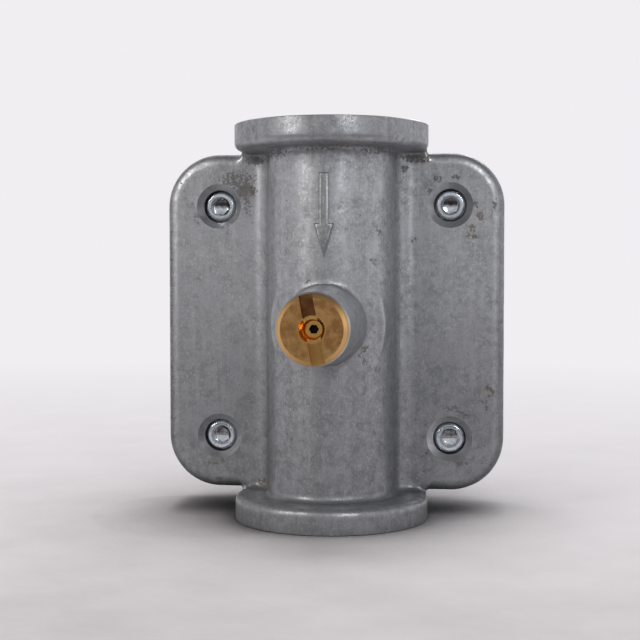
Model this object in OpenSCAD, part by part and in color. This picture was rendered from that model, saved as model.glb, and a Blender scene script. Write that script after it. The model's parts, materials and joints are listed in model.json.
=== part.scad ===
// Proportional valve: a cast body with a diaphragm behind its square plate.
// The tube's axis is Z, with the outlet face at z = 0. The boss points along -Y.
// Lengths are millimetres. Places along Y are measured from the tube's axis.

/* [Tube and collars] */
// Height from the outlet face to the inlet face
body_h = 105.5; // [98:0.5:130]
// Outer diameter of the tube
tube_d = 33.8; // [32:0.2:36]
// Diameter of the round collar at each port
collar_d = 52; // [46:0.5:58]
// Thickness of each collar
collar_t = 6.65; // [5:0.05:9]
// Rounding of the collar's inner edge
collar_round = 1.8; // [0.8:0.1:2.4]
// Chamfer of the collar's machined outer edge
collar_break = 0.3; // [0.1:0.1:0.8]
// Fillet between the tube and each collar
collar_fillet = 1.4; // [0.6:0.1:2]
// Fillet between the tube and the plate
tube_fillet = 5; // [3:0.1:6]
// Fillet between the collars and the plate
foot_fillet = 1.5; // [0.8:0.1:2]

/* [Passage] */
// Bore of each port, at the crests of its pipe thread
port_d = 24.12; // [22:0.01:26]
// Length of each port's thread
port_len = 16; // [12:0.5:20]
// Bore of the passage behind the threads
passage_d = 21; // [18:0.5:21.5]
// Thickness of the partition that carries the seat
partition_t = 4; // [3:0.1:5]
// Thickness of the web over each blind half of the passage
web_t = 3.4; // [2.5:0.1:5]

/* [Plate] */
// Width of the square plate
plate_w = 92.8; // [86:0.2:100]
// Thickness of the plate
plate_t = 14; // [13.5:0.1:18]
// Distance from the tube's axis to the plate's front face
plate_front = 5; // [4:0.1:6]
// Radius of the plate's corners
corner_r = 14.5; // [12:0.5:16]
// Rounding of the plate's front edge
edge_round = 3; // [1:0.1:4]
// Distance between neighbouring cover screws
screw_spacing = 63.5; // [62:0.5:66]

/* [Boss and plug] */
// Distance from the tube's axis to the boss's tip
boss_reach = 41.5; // [38:0.5:48]
// Diameter of the boss at its tip
boss_tip_d = 18; // [17.8:0.1:20]
// Diameter of the boss where it leaves the tube
boss_base_d = 21; // [20.5:0.1:24]
// Diameter of the low pad round the boss
pad_d = 30.4; // [28:0.2:32]
// Distance from the tube's axis to the pad's face
pad_reach = 9.5; // [8:0.1:11]
// Thread diameter of the plug
plug_thread_d = 14; // [13.6:0.1:14.4]
// Length of the plug below its head
plug_len = 13.5; // [12:0.5:16]
// Diameter of the plug's head
plug_head_d = 17.4; // [17.2:0.1:17.8]
// Height of the plug's head
plug_head_h = 2.1; // [1.9:0.1:3]
// Chamfer round the plug's head
plug_chamfer = 1.1; // [0.4:0.1:1.3]
// Width of the slot across the plug's head
slot_w = 3.3; // [2:0.1:3.8]
// Depth of the slot
slot_depth = 1.6; // [0.8:0.1:1.8]
// Turn of the slot's top to the left of the upright, seen from the front
slot_turn = 10.7; // [0:0.1:90]
// Diameter of the countersink in the plug's centre
recess_d = 6.3; // [5.6:0.1:7]
// Depth of the countersink in the plug's centre
recess_depth = 1.6; // [1:0.1:2]
// Thread diameter of the set screw in the plug
bias_d = 5; // [4.6:0.1:5.2]
// Width across flats of the set screw's socket
bias_socket = 2.1; // [1.8:0.1:2.3]

/* [Valve train] */
// Diameter of the hole through the seat
seat_d = 9; // [8.6:0.1:9.4]
// Outer diameter of the pressed seat bush
seat_bush_d = 11.6; // [11.4:0.1:12]
// Diameter of the poppet
poppet_d = 12.4; // [12:0.1:13]
// Thickness of the poppet's disc
poppet_t = 3; // [2.4:0.1:3.6]
// Thickness of the poppet's rubber seal
seal_t = 1.4; // [1:0.1:2]
// Lift of the poppet from closed to fully open
lift = 2.5; // [1.5:0.1:2.6]
// Diameter of the stem in its guide
stem_d = 5; // [4.6:0.1:5.2]
// Thread diameter at the stem's rear end
stem_rear_d = 4; // [3.6:0.1:4.2]
// Thread diameter at the stem's front end
stem_front_d = 3; // [2.8:0.1:3.2]
// Outer diameter of the guide bush
guide_d = 8; // [7.6:0.1:8.6]
// Length of the guide bush
guide_len = 6; // [5:0.1:7]
// Wire diameter of the return spring
return_wire = 0.8; // [0.6:0.1:1]
// Mean diameter of the return spring
return_coil_d = 8.6; // [8.4:0.1:8.8]
// Working turns of the return spring
return_turns = 6; // [4:0.5:7]

/* [Diaphragm] */
// Diameter of the diaphragm chamber
chamber_d = 60; // [56:0.5:61]
// Thickness of the diaphragm
diaphragm_t = 1.5; // [1.2:0.1:2]
// Diameter of the two diaphragm plates
disc_d = 40; // [34:0.5:40.5]
// Thickness of each diaphragm plate
disc_t = 1.2; // [1:0.1:1.5]

/* [Rear cover] */
// Thickness of the cover's flange
flange_t = 8; // [7:0.1:10]
// Height of the screw bosses on the back of the flange
screw_boss_h = 2.6; // [2:0.1:4]
// Wall of the cover and its bonnet
cover_wall = 3; // [2.4:0.1:4]
// Length of the bonnet from the flange's back to its end face
bonnet_len = 22.5; // [21:0.5:28]
// Inner diameter of the bonnet
bonnet_bore_d = 23; // [22:0.2:26]
// Thickness of the bonnet's end wall
bonnet_end_t = 5; // [4:0.1:7]
// Thickness of the ribs between bonnet and screw bosses
rib_t = 4; // [3:0.1:6]
// Diameter of the breather hole
breather_d = 2; // [1:0.1:3]

/* [Range spring and adjuster] */
// Wire diameter of the range spring
range_wire = 2; // [1.6:0.1:2.2]
// Mean diameter of the range spring
range_coil_d = 17.2; // [17:0.1:18]
// Working turns of the range spring
range_turns = 4; // [3:0.5:4.5]
// Thickness of the spring button
button_t = 2.5; // [2:0.1:3]
// Thread diameter of the adjusting screw
adjuster_d = 8; // [7:0.1:8.4]
// Length of the adjusting screw
adjuster_len = 22; // [20:0.5:26]
// Width across flats of the lock nut
lock_nut_af = 13; // [12.5:0.1:14]
// Thickness of the lock nut
lock_nut_t = 5; // [4:0.1:6.5]

/* [Cover screws] */
// Thread diameter of the cover screws
screw_d = 5; // [4.6:0.1:5.2]
// Length of the cover screws under the head
screw_len = 16; // [15:0.5:17]
// Diameter of the cap screw's head
screw_head_d = 8.5; // [8.1:0.1:8.8]
// Height of the cap screw's head
screw_head_h = 5; // [4.6:0.1:5.2]
// Width across flats of the cap screw's socket
screw_socket = 4; // [3.5:0.1:4.2]
// Depth from the plate's face to the top of the head
screw_sink = 2; // [1.6:0.1:2.4]

/* [Hidden] */
$fn = 96;

// Clearances: thread and bore, running fit, cast edge, and faces that move apart
thread_gap = 0.05;
running_gap = 0.05;
edge_gap = 0.4;
face_gap = 0.05;

mid_z = body_h / 2;
tube_r = tube_d / 2;
collar_r = collar_d / 2;
passage_r = passage_d / 2;
plate_h = body_h - 2 * collar_t;
plate_back = plate_front + plate_t;
screw_at = screw_spacing / 2;

// Counterbore of the cover screws
counterbore_r = screw_head_d / 2 + 0.25;
counterbore_chamfer = 1.7;
head_seat = plate_front + screw_sink + screw_head_h;
screw_hole_r = screw_d / 2 + 0.25;

// Boss, plug and set screw, from the tip inwards
boss_tip = -boss_reach;
boss_bore_r = plug_thread_d / 2;
plug_face = boss_tip - plug_head_h;
plug_inner = boss_tip + plug_len;
plug_ring_r = 0.5;
plug_ring_groove = 1.2;
bias_sink = 4.5;
bias_front = plug_face + bias_sink;
bias_socket_depth = 3.4;
plug_wall = 1.8;
plug_chamber_r = boss_bore_r - plug_wall;
cup_t = 1.2;
cup_pilot_h = 1.5;
bias_nose = 2.3;
bias_travel = 2;
plug_chamber = plug_inner - bias_nose - cup_t - bias_travel;
cup_front = plug_chamber + bias_nose;
bias_nose_r = bias_d / 2 - 0.8;
bias_ring_r = 0.45;
bias_ring_inset = 1;
bias_ring_at = plug_chamber - bias_travel - bias_ring_inset;

// Seat and poppet: the poppet closes against the lip from the inlet side
seat_flange_t = 1.4;
seat_lip_h = 0.6;
seat_flange_r = boss_bore_r - 0.3;
lip_face = -partition_t / 2 - seat_flange_t - seat_lip_h;
seal_front = lip_face - seal_t;
poppet_front = seal_front - poppet_t;
retainer_t = 1;
retainer_r = seat_d / 2 - 0.7;
poppet_nut_t = 2.4;
poppet_nut_af = 5.5;
stem_front_end = 0.9;
stem_front = poppet_front - poppet_nut_t - stem_front_end;

// Diaphragm stack, from the body's back to the cover
dish_room = 1.3;
dish_floor = plate_back - disc_t - lift - dish_room;
chamber_r = chamber_d / 2;
cover_face = plate_back + diaphragm_t;
front_disc = plate_back - disc_t;
rear_disc = cover_face;
stem_washer_t = 0.8;
stem_nut_t = 3.2;
stem_nut_af = 7;
stem_washer_at = rear_disc + disc_t;
stem_nut_at = stem_washer_at + stem_washer_t;
stem_rear_end = 1.4;
stem_rear = stem_nut_at + stem_nut_t + stem_rear_end;
disc_hole_r = stem_rear_d / 2 + thread_gap;
disc_rim_h = 1.2;

// Roll between the diaphragm plates and the clamped rim, with a flat band on each side
roll_band = 1.25;
roll_at = (disc_d / 2 + chamber_r) / 2;
roll_r = (chamber_r - disc_d / 2) / 2 - roll_band - diaphragm_t / 2;

// Guide in the wall behind the partition
guide_front = dish_floor - guide_len;
guide_wall = 2.5;
guide_boss_r = guide_d / 2 + guide_wall;
jet_r = 1.5;
jet_bore_r = 0.5;
jet_len = 3;
jet_drop = 15;

// Rear cover
flange_back = cover_face + flange_t;
cover_w = plate_w - 2 * edge_gap;
cover_h = plate_h - 2 * edge_gap;
cover_corner_r = corner_r - edge_gap;
roll_room = 2;
cover_chamber_floor = cover_face + roll_r + diaphragm_t + roll_room;
dome_r = chamber_r + cover_wall;
dome_end_t = cover_wall + 1;
dome_back = cover_chamber_floor + dome_end_t;
dome_round = 2.4;
bonnet_bore_r = bonnet_bore_d / 2;
bonnet_draft = 0.9;
bonnet_base_r = bonnet_bore_r + cover_wall + bonnet_draft;
bonnet_tip_r = bonnet_bore_r + cover_wall - bonnet_draft;
bonnet_flare = 3;
bonnet_back = flange_back + bonnet_len;
bonnet_floor = bonnet_back - bonnet_end_t;
bonnet_chamfer = 1.2;
screw_boss_r = 7.5;
screw_hole_floor = 1.6;
rib_drop = 3;

// Spring button, adjusting screw and lock nut. The button can back out by less than its room.
button_room = 3;
button_back = bonnet_floor - button_room;
button_front = button_back - button_t;
button_gap = 1.3;
button_r = bonnet_bore_r - button_gap;
button_pilot_r = (range_coil_d - range_wire) / 2 - edge_gap;
button_pilot_h = 2;
nose_depth = 0.8;
adjuster_front = button_back - nose_depth + face_gap;
adjuster_back = adjuster_front + adjuster_len;
adjuster_slot_w = 1.2;
adjuster_slot_depth = 1.8;
lock_washer_t = 1.6;
lock_washer_r = lock_nut_af / 2 + 1.9;
lock_nut_at = bonnet_back + lock_washer_t;

die_cast = [0.50, 0.51, 0.52];
brass = [0.72, 0.55, 0.33];
zinc = [0.80, 0.82, 0.84];
steel = [0.62, 0.63, 0.65];
rubber = [0.10, 0.10, 0.10];
spring_steel = [0.45, 0.46, 0.48];

// Draws its children along +Y from a place on the valve's axis.
module along_y(y) {
    translate([0, y, mid_z]) rotate([-90, 0, 0]) children();
}

module at_screws() {
    for (x = [-screw_at, screw_at], z = [-screw_at, screw_at])
        translate([x, 0, z]) children();
}

// A cylinder along Y between two places.
module rod(r, from, to) {
    along_y(from) cylinder(r = r, h = to - from);
}

module cone(r_from, r_to, from, to) {
    along_y(from) cylinder(r1 = r_from, r2 = r_to, h = to - from);
}

module tube_ring(r_out, r_in, from, to) {
    difference() {
        rod(r_out, from, to);
        rod(r_in, from - 1, to + 1);
    }
}

module o_ring(mean_r, section_r, at) {
    along_y(at) rotate_extrude() translate([mean_r, 0]) circle(section_r, $fn = 48);
}

// A hexagon's corner radius is its half width over the cosine of 30 degrees.
module hex_prism(across_flats, from, to) {
    along_y(from) cylinder(r = across_flats / 2 / cos(30), h = to - from, $fn = 6);
}

// A hex nut whose corners are turned off at 30 degrees on both faces.
module hex_nut(across_flats, bore_r, at, thick) {
    corner = across_flats / 2 / cos(30) + 0.02;
    face_r = across_flats * 0.475;
    edge = (corner - face_r) * tan(30);
    difference() {
        intersection() {
            hex_prism(across_flats, at, at + thick);
            along_y(at) rotate_extrude() polygon([
                [0, 0], [face_r, 0], [corner, edge],
                [corner, thick - edge], [face_r, thick], [0, thick]
            ]);
        }
        rod(bore_r, at - 1, at + thick + 1);
    }
}

// Section of a slab whose two edges at v = 0 are rounded.
module rounded_section(width, thick, round_r) {
    translate([-width / 2 + round_r, 0]) square([width - 2 * round_r, thick]);
    translate([-width / 2, round_r]) square([width, thick - round_r]);
    for (side = [-1, 1])
        translate([side * (width / 2 - round_r), round_r]) circle(round_r);
}

// A rounded square with a rounded front edge: two crossed slabs and a turned puck at each corner.
module soft_square(width, height, corner, thick, round_r) {
    rotate([90, 0, 90])
        linear_extrude(width - 2 * corner, center = true) rounded_section(height, thick, round_r);
    rotate([90, 0, 0])
        linear_extrude(height - 2 * corner, center = true) rounded_section(width, thick, round_r);
    for (x = [-1, 1], y = [-1, 1])
        translate([x * (width / 2 - corner), y * (height / 2 - corner), 0])
            rotate_extrude() intersection() {
                rounded_section(2 * corner, thick, round_r);
                square([corner, thick]);
            }
}

module flat_square(width, height, corner, thick) {
    linear_extrude(thick) {
        square([width - 2 * corner, height], center = true);
        square([width, height - 2 * corner], center = true);
        for (x = [-1, 1], y = [-1, 1])
            translate([x * (width / 2 - corner), y * (height / 2 - corner)]) circle(corner);
    }
}

// Collar at z = 0 with its shoulder above it, a fillet onto the tube and a broken outer edge.
module collar() {
    fillet_r = tube_r + collar_fillet;
    rotate_extrude() {
        polygon([
            [0, 0], [collar_r - collar_break, 0], [collar_r, collar_break],
            [collar_r, collar_t - collar_round], [0, collar_t - collar_round]
        ]);
        square([collar_r - collar_round, collar_t]);
        translate([collar_r - collar_round, collar_t - collar_round]) circle(collar_round);
        difference() {
            translate([0, collar_t]) square([fillet_r, collar_fillet]);
            translate([fillet_r, collar_t + collar_fillet]) circle(collar_fillet);
        }
    }
}

// Over the plate the collar's wall runs straight onto the plate's edge, and the plate's
// face runs flat down to the collar. Small fillets blend wall to edge and face to shoulder.
module collar_foot() {
    wall_from = collar_t - collar_round - 0.5;
    intersection() {
        translate([0, 0, wall_from]) cylinder(r = collar_r, h = collar_round + edge_round + 1);
        translate([-collar_r, plate_front, 0])
            cube([2 * collar_r, plate_t, collar_t + edge_round + 1]);
    }
    intersection() {
        rotate_extrude() difference() {
            translate([collar_r - 1, collar_t - foot_fillet]) square([foot_fillet + 1, foot_fillet + 0.5]);
            translate([collar_r + foot_fillet, collar_t - foot_fillet]) circle(foot_fillet);
        }
        translate([-2 * collar_r, plate_front + edge_round, 0])
            cube([4 * collar_r, plate_t - edge_round, collar_t + edge_round]);
    }
    intersection() {
        rotate([90, 0, 90]) linear_extrude(2 * collar_r, center = true) difference() {
            translate([plate_front - foot_fillet, collar_t - 0.2])
                square([foot_fillet + 0.5, foot_fillet + 0.2]);
            translate([plate_front - foot_fillet, collar_t + foot_fillet]) circle(foot_fillet);
        }
        cylinder(r = collar_r - collar_round, h = collar_t + edge_round);
    }
}

// Both ends of the body are alike, mirrored about the middle.
module at_both_ends() {
    children();
    translate([0, 0, body_h]) mirror([0, 0, 1]) children();
}

// Concave fillets between the tube's sides and the plate's face.
// Their arc crosses tube and face at a slight angle, which leaves the casting's fine crease.
module tube_fillets() {
    crossing = 0.2;
    root = 2.5;
    centre_x = tube_r + tube_fillet - crossing;
    centre_y = plate_front - tube_fillet + crossing / 2;
    translate([0, 0, collar_t])
        linear_extrude(plate_h)
            for (side = [-1, 1]) mirror([side < 0 ? 1 : 0, 0])
                difference() {
                    translate([tube_r - root, centre_y])
                        square([tube_fillet + root - crossing, plate_front - centre_y + 0.5]);
                    translate([centre_x, centre_y]) circle(tube_fillet);
                }
}

// Half of the S-shaped passage: a threaded port, a full bore, and a pocket that
// reaches past the middle on one side of the partition.
module passage_half() {
    pocket_start = mid_z - passage_r - web_t;
    translate([0, 0, -1]) cylinder(d = port_d, h = port_len + 1);
    translate([0, 0, port_len])
        cylinder(d1 = port_d, d2 = passage_d, h = (port_d - passage_d) / 2);
    translate([0, 0, port_len]) cylinder(r = passage_r, h = pocket_start - port_len);
    intersection() {
        union() {
            translate([0, 0, pocket_start - 1]) cylinder(r = passage_r, h = mid_z - pocket_start + 1);
            translate([0, 0, mid_z]) sphere(passage_r);
        }
        translate([-passage_r - 1, partition_t / 2, 0]) cube([2 * passage_r + 2, passage_r + 2, body_h]);
    }
}

module passage() {
    passage_half();
    translate([0, 0, body_h]) rotate([180, 0, 0]) passage_half();
}

module screw_counterbores() {
    at_screws() {
        rod(counterbore_r, plate_front - 3, head_seat);
        cone(counterbore_r + counterbore_chamfer, counterbore_r,
             plate_front, plate_front + counterbore_chamfer);
        rod(screw_hole_r, head_seat - 1, plate_back + 1);
    }
}

module valve_body() {
    color(die_cast) difference() {
        union() {
            translate([0, 0, collar_t - 1]) cylinder(r = tube_r, h = plate_h + 2);
            at_both_ends() {
                collar();
                collar_foot();
            }
            along_y(plate_front) soft_square(plate_w, plate_h, corner_r, plate_t, edge_round);
            tube_fillets();
            cone(boss_tip_d / 2, boss_base_d / 2, boss_tip, -tube_r + 2);
            rod(boss_base_d / 2, -tube_r + 2, 0);
            rod(pad_d / 2, -pad_reach, plate_front + 1);
        }
        difference() {
            passage();
            rod(guide_boss_r, guide_front, dish_floor);
        }
        rod(boss_bore_r, boss_tip - 1, -partition_t / 2);
        rod(boss_bore_r + plug_ring_groove, boss_tip - 1, boss_tip + 2 * plug_ring_r + 0.1);
        rod(seat_bush_d / 2, -partition_t, partition_t);
        rod(guide_d / 2, guide_front - 1, dish_floor + 1);
        translate([0, 0, -jet_drop]) rod(jet_r, 0, dish_floor + 1);
        rod(chamber_r, dish_floor, plate_back + 1);
        screw_counterbores();
    }
}

// Brass seat: a flange against the partition with a raised lip for the seal.
module seat_bush() {
    lip_r = seat_d / 2 + 1.2;
    color(brass) difference() {
        union() {
            rod(seat_bush_d / 2, -partition_t / 2 - 0.5, partition_t / 2);
            rod(seat_flange_r, -partition_t / 2 - seat_flange_t, -partition_t / 2);
            cone(lip_r - 0.6, lip_r, lip_face, -partition_t / 2 - seat_flange_t);
        }
        rod(seat_d / 2, lip_face - 1, partition_t / 2 + 1);
    }
}

module guide_bush() {
    color(brass) tube_ring(guide_d / 2, stem_d / 2 + running_gap, guide_front, dish_floor);
}

module sensing_jet() {
    color(brass) translate([0, 0, -jet_drop])
        tube_ring(jet_r, jet_bore_r, dish_floor - jet_len, dish_floor);
}

module poppet() {
    edge = 0.6;
    color(brass) difference() {
        union() {
            cone(poppet_d / 2 - edge, poppet_d / 2, poppet_front, poppet_front + edge);
            rod(poppet_d / 2, poppet_front + edge, seal_front);
        }
        rod(stem_front_d / 2 + thread_gap, poppet_front - 1, seal_front + 1);
    }
}

module poppet_seal() {
    color(rubber) tube_ring(poppet_d / 2 - 0.2, stem_front_d / 2 + thread_gap, seal_front, lip_face);
}

module seal_retainer() {
    color(steel) tube_ring(retainer_r, stem_front_d / 2 + thread_gap, lip_face, lip_face + retainer_t);
}

module poppet_nut() {
    color(zinc) hex_nut(poppet_nut_af, stem_front_d / 2 + thread_gap,
                        poppet_front - poppet_nut_t, poppet_nut_t);
}

// The stem is turned in one piece, with a shoulder for the poppet and one for the plates.
module valve_stem() {
    edge = 0.4;
    color(steel) {
        cone(stem_front_d / 2 - edge, stem_front_d / 2, stem_front, stem_front + edge);
        rod(stem_front_d / 2, stem_front + edge, lip_face + retainer_t);
        rod(stem_d / 2, lip_face + retainer_t, front_disc);
        rod(stem_rear_d / 2, front_disc, stem_rear - edge);
        cone(stem_rear_d / 2, stem_rear_d / 2 - edge, stem_rear - edge, stem_rear);
    }
}

module front_diaphragm_plate() {
    edge = 0.5;
    color(zinc) difference() {
        union() {
            cone(disc_d / 2 - edge, disc_d / 2, front_disc, front_disc + edge);
            rod(disc_d / 2, front_disc + edge, plate_back);
        }
        rod(disc_hole_r, front_disc - 1, plate_back + 1);
    }
}

// The rear plate has a low rim that centres the range spring.
module rear_diaphragm_plate() {
    rim_r = range_coil_d / 2 + range_wire / 2 + 0.5;
    color(zinc) {
        tube_ring(disc_d / 2, disc_hole_r, rear_disc, rear_disc + disc_t);
        tube_ring(rim_r + 0.9, rim_r, rear_disc + disc_t / 2, rear_disc + disc_t + disc_rim_h);
    }
}

module diaphragm() {
    margin = edge_gap + 0.2;
    roll_out = roll_r + diaphragm_t / 2;
    roll_in = roll_r - diaphragm_t / 2;
    color(rubber) {
        difference() {
            along_y(plate_back)
                flat_square(plate_w - 2 * margin, plate_h - 2 * margin, corner_r - margin, diaphragm_t);
            rod(roll_at + roll_r, plate_back - 1, cover_face + 1);
            at_screws() rod(screw_hole_r, plate_back - 1, cover_face + 1);
        }
        tube_ring(roll_at - roll_r, stem_rear_d / 2 + thread_gap, plate_back, cover_face);
        along_y(plate_back + diaphragm_t / 2) rotate_extrude()
            translate([roll_at, 0]) difference() {
                circle(roll_out);
                circle(roll_in);
                translate([-roll_out - 1, -2 * roll_out]) square([2 * roll_out + 2, 2 * roll_out]);
            }
    }
}

module stem_washer() {
    color(zinc) tube_ring(stem_rear_d / 2 + 2.4, stem_rear_d / 2 + thread_gap,
                          stem_washer_at, stem_nut_at);
}

module stem_nut() {
    color(zinc) hex_nut(stem_nut_af, stem_rear_d / 2 + thread_gap, stem_nut_at, stem_nut_t);
}

// Height of a coil spring's wire after some turns: a closed turn, the working turns, a closed turn.
function coil_height(turn, turns, wire, free_len) =
    let (pitch = (free_len - 3 * wire) / turns)
    turn < 1 ? turn * wire :
    turn < 1 + turns ? wire + (turn - 1) * pitch :
    wire + turns * pitch + (turn - 1 - turns) * wire;

// A round wire swept along the coil, as one closed surface of rings.
module coil_spring(coil_d, wire, turns, from, to) {
    sides = 8;
    steps_per_turn = 20;
    steps = ceil((turns + 2) * steps_per_turn);
    points = [
        for (i = [0:steps], s = [0:sides - 1])
            let (
                turn = i / steps_per_turn,
                around = 360 * turn,
                section = 360 * s / sides,
                reach = coil_d / 2 + wire / 2 * cos(section)
            )
            [reach * cos(around), reach * sin(around),
             wire / 2 + coil_height(turn, turns, wire, to - from) + wire / 2 * sin(section)]
    ];
    walls = [
        for (i = [0:steps - 1], s = [0:sides - 1])
            [i * sides + s, i * sides + (s + 1) % sides,
             (i + 1) * sides + (s + 1) % sides, (i + 1) * sides + s]
    ];
    first_end = [for (s = [sides - 1:-1:0]) s];
    last_end = [for (s = [0:sides - 1]) steps * sides + s];
    along_y(from) polyhedron(points, concat([first_end], walls, [last_end]));
}

module return_spring() {
    color(spring_steel)
        coil_spring(return_coil_d, return_wire, return_turns, cup_front + cup_t, poppet_front);
}

module spring_cup() {
    coil_room = 0.3;
    wall_room = 0.25;
    pilot_taper = 0.5;
    pilot_r = (return_coil_d - return_wire) / 2 - coil_room;
    color(steel) {
        rod(plug_chamber_r - wall_room, cup_front, cup_front + cup_t);
        cone(pilot_r, pilot_r - pilot_taper, cup_front + cup_t, cup_front + cup_t + cup_pilot_h);
    }
}

// Set screw with a hex socket, a seal groove and a plain nose that pushes the cup.
module bias_screw() {
    r = bias_d / 2 - thread_gap;
    edge = 0.4;
    groove_w = 2 * bias_ring_r + 0.2;
    color(brass) difference() {
        union() {
            cone(r - edge, r, bias_front, bias_front + edge);
            rod(r, bias_front + edge, plug_chamber - edge);
            cone(r, r - edge, plug_chamber - edge, plug_chamber);
            rod(bias_nose_r, plug_chamber - 1, cup_front - face_gap);
        }
        hex_prism(bias_socket, bias_front - 1, bias_front + bias_socket_depth);
        along_y(bias_ring_at - groove_w / 2) difference() {
            cylinder(r = r + 1, h = groove_w);
            translate([0, 0, -1]) cylinder(r = r - 2 * bias_ring_r, h = groove_w + 2);
        }
    }
}

module bias_o_ring() {
    color(rubber) o_ring(bias_d / 2 - thread_gap - bias_ring_r, bias_ring_r, bias_ring_at);
}

module brass_plug() {
    head_r = plug_head_d / 2;
    shank_r = boss_bore_r - thread_gap;
    end_edge = 0.8;
    color(brass) difference() {
        union() {
            cone(head_r - plug_chamfer, head_r, plug_face, plug_face + plug_chamfer);
            rod(head_r, plug_face + plug_chamfer, boss_tip);
            rod(shank_r, boss_tip - 0.5, plug_inner - end_edge);
            cone(shank_r, shank_r - end_edge, plug_inner - end_edge, plug_inner);
        }
        cone(recess_d / 2, bias_d / 2, plug_face, plug_face + recess_depth);
        rod(bias_d / 2, plug_face - 1, plug_inner);
        rod(plug_chamber_r, plug_chamber, plug_inner + 1);
        along_y(plug_face - 1) rotate([0, 0, -slot_turn])
            translate([-slot_w / 2, -plug_head_d, 0]) cube([slot_w, 2 * plug_head_d, slot_depth + 1]);
    }
}

module plug_o_ring() {
    color(rubber) o_ring(boss_bore_r + plug_ring_r, plug_ring_r, boss_tip + plug_ring_r);
}

module range_spring() {
    color(spring_steel)
        coil_spring(range_coil_d, range_wire, range_turns, rear_disc + disc_t, button_front);
}

// The button has a pilot for the spring and a dimple for the screw's nose.
module spring_button() {
    pilot_taper = 0.5;
    dimple_floor_r = 0.6;
    dimple_spread = 2;
    color(zinc) difference() {
        union() {
            rod(button_r, button_front, button_back);
            cone(button_pilot_r - pilot_taper, button_pilot_r,
                 button_front - button_pilot_h, button_front);
        }
        cone(dimple_floor_r, dimple_floor_r + (nose_depth + 1) * dimple_spread,
             button_back - nose_depth, button_back + 1);
    }
}

module adjusting_screw() {
    r = adjuster_d / 2;
    nose_tip_r = 0.5;
    nose = 2;
    neck = 1;
    edge = 0.8;
    color(zinc) difference() {
        union() {
            cone(nose_tip_r, r - neck, adjuster_front, adjuster_front + nose);
            cone(r - neck, r, adjuster_front + nose, adjuster_front + nose + neck);
            rod(r, adjuster_front + nose + neck, adjuster_back - edge);
            cone(r, r - edge, adjuster_back - edge, adjuster_back);
        }
        along_y(adjuster_back - adjuster_slot_depth)
            translate([-adjuster_slot_w / 2, -adjuster_d, 0])
                cube([adjuster_slot_w, 2 * adjuster_d, adjuster_slot_depth + 1]);
    }
}

module lock_washer() {
    color(zinc) tube_ring(lock_washer_r, adjuster_d / 2 + 0.2, bonnet_back, lock_nut_at);
}

module lock_nut() {
    color(zinc) hex_nut(lock_nut_af, adjuster_d / 2 + running_gap, lock_nut_at, lock_nut_t);
}

// Outer form of the dome and bonnet, turned about the valve's axis.
module bonnet_form() {
    along_y(0) rotate_extrude() {
        translate([0, cover_face + 1]) square([dome_r, dome_back - dome_round - cover_face - 1]);
        translate([0, cover_face + 1]) square([dome_r - dome_round, dome_back - cover_face - 1]);
        translate([dome_r - dome_round, dome_back - dome_round]) circle(dome_round);
        difference() {
            translate([0, dome_back - 1]) square([bonnet_base_r + bonnet_flare, bonnet_flare + 1]);
            translate([bonnet_base_r + bonnet_flare, dome_back + bonnet_flare]) circle(bonnet_flare);
        }
        polygon([
            [0, dome_back],
            [bonnet_base_r, dome_back + bonnet_flare],
            [bonnet_tip_r, bonnet_back - bonnet_chamfer],
            [bonnet_tip_r - bonnet_chamfer, bonnet_back],
            [0, bonnet_back]
        ]);
    }
}

module cover_ribs() {
    reach = sqrt(2) * screw_at;
    top = flange_back + screw_boss_h;
    for (turn = [45:90:315])
        along_y(0) rotate([0, 0, turn]) rotate([90, 0, 0])
            linear_extrude(rib_t, center = true)
                polygon([
                    [bonnet_bore_r + 1, flange_back - 1],
                    [reach, flange_back - 1],
                    [reach, top],
                    [bonnet_tip_r, bonnet_back - bonnet_chamfer - rib_drop],
                    [bonnet_bore_r + 1, bonnet_back - bonnet_chamfer - rib_drop]
                ]);
}

module rear_cover() {
    color(die_cast) difference() {
        union() {
            along_y(cover_face) flat_square(cover_w, cover_h, cover_corner_r, flange_t);
            bonnet_form();
            cover_ribs();
            at_screws() rod(screw_boss_r, flange_back - 1, flange_back + screw_boss_h);
        }
        rod(chamber_r, cover_face - 1, cover_chamber_floor);
        rod(bonnet_bore_r, cover_face, bonnet_floor);
        rod(adjuster_d / 2 + running_gap, bonnet_floor - 1, bonnet_back + 1);
        at_screws()
            rod(screw_d / 2, cover_face - 1, flange_back + screw_boss_h - screw_hole_floor);
        translate([0, (dome_back + bonnet_floor) / 2, mid_z - 2 * bonnet_base_r])
            cylinder(d = breather_d, h = 2 * bonnet_base_r);
    }
}

// Cap screws with a chamfered head and a hex socket with a chamfered mouth and a drilled point.
module cover_screws() {
    head_front = head_seat - screw_head_h;
    head_r = screw_head_d / 2;
    edge = 0.7;
    edge_h = 0.9;
    tip = 0.8;
    mouth = 0.4;
    socket_corner = screw_socket / 2 / cos(30);
    socket_floor = head_front + screw_head_h / 2;
    point_r = screw_socket / 2 - 0.1;
    shank_r = screw_d / 2 - thread_gap;
    shank_end = head_seat + screw_len;
    color(zinc) at_screws() difference() {
        union() {
            cone(head_r - edge, head_r, head_front, head_front + edge_h);
            rod(head_r, head_front + edge_h, head_seat);
            rod(shank_r, head_seat - 1, shank_end - tip);
            cone(shank_r, shank_r - tip, shank_end - tip, shank_end);
        }
        hex_prism(screw_socket, head_front - 1, socket_floor);
        cone(point_r, 0, socket_floor, socket_floor + point_r * tan(30));
        cone(socket_corner + mouth + 0.05, socket_corner - mouth,
             head_front - 0.05, head_front + 2 * mouth);
    }
}

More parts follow.
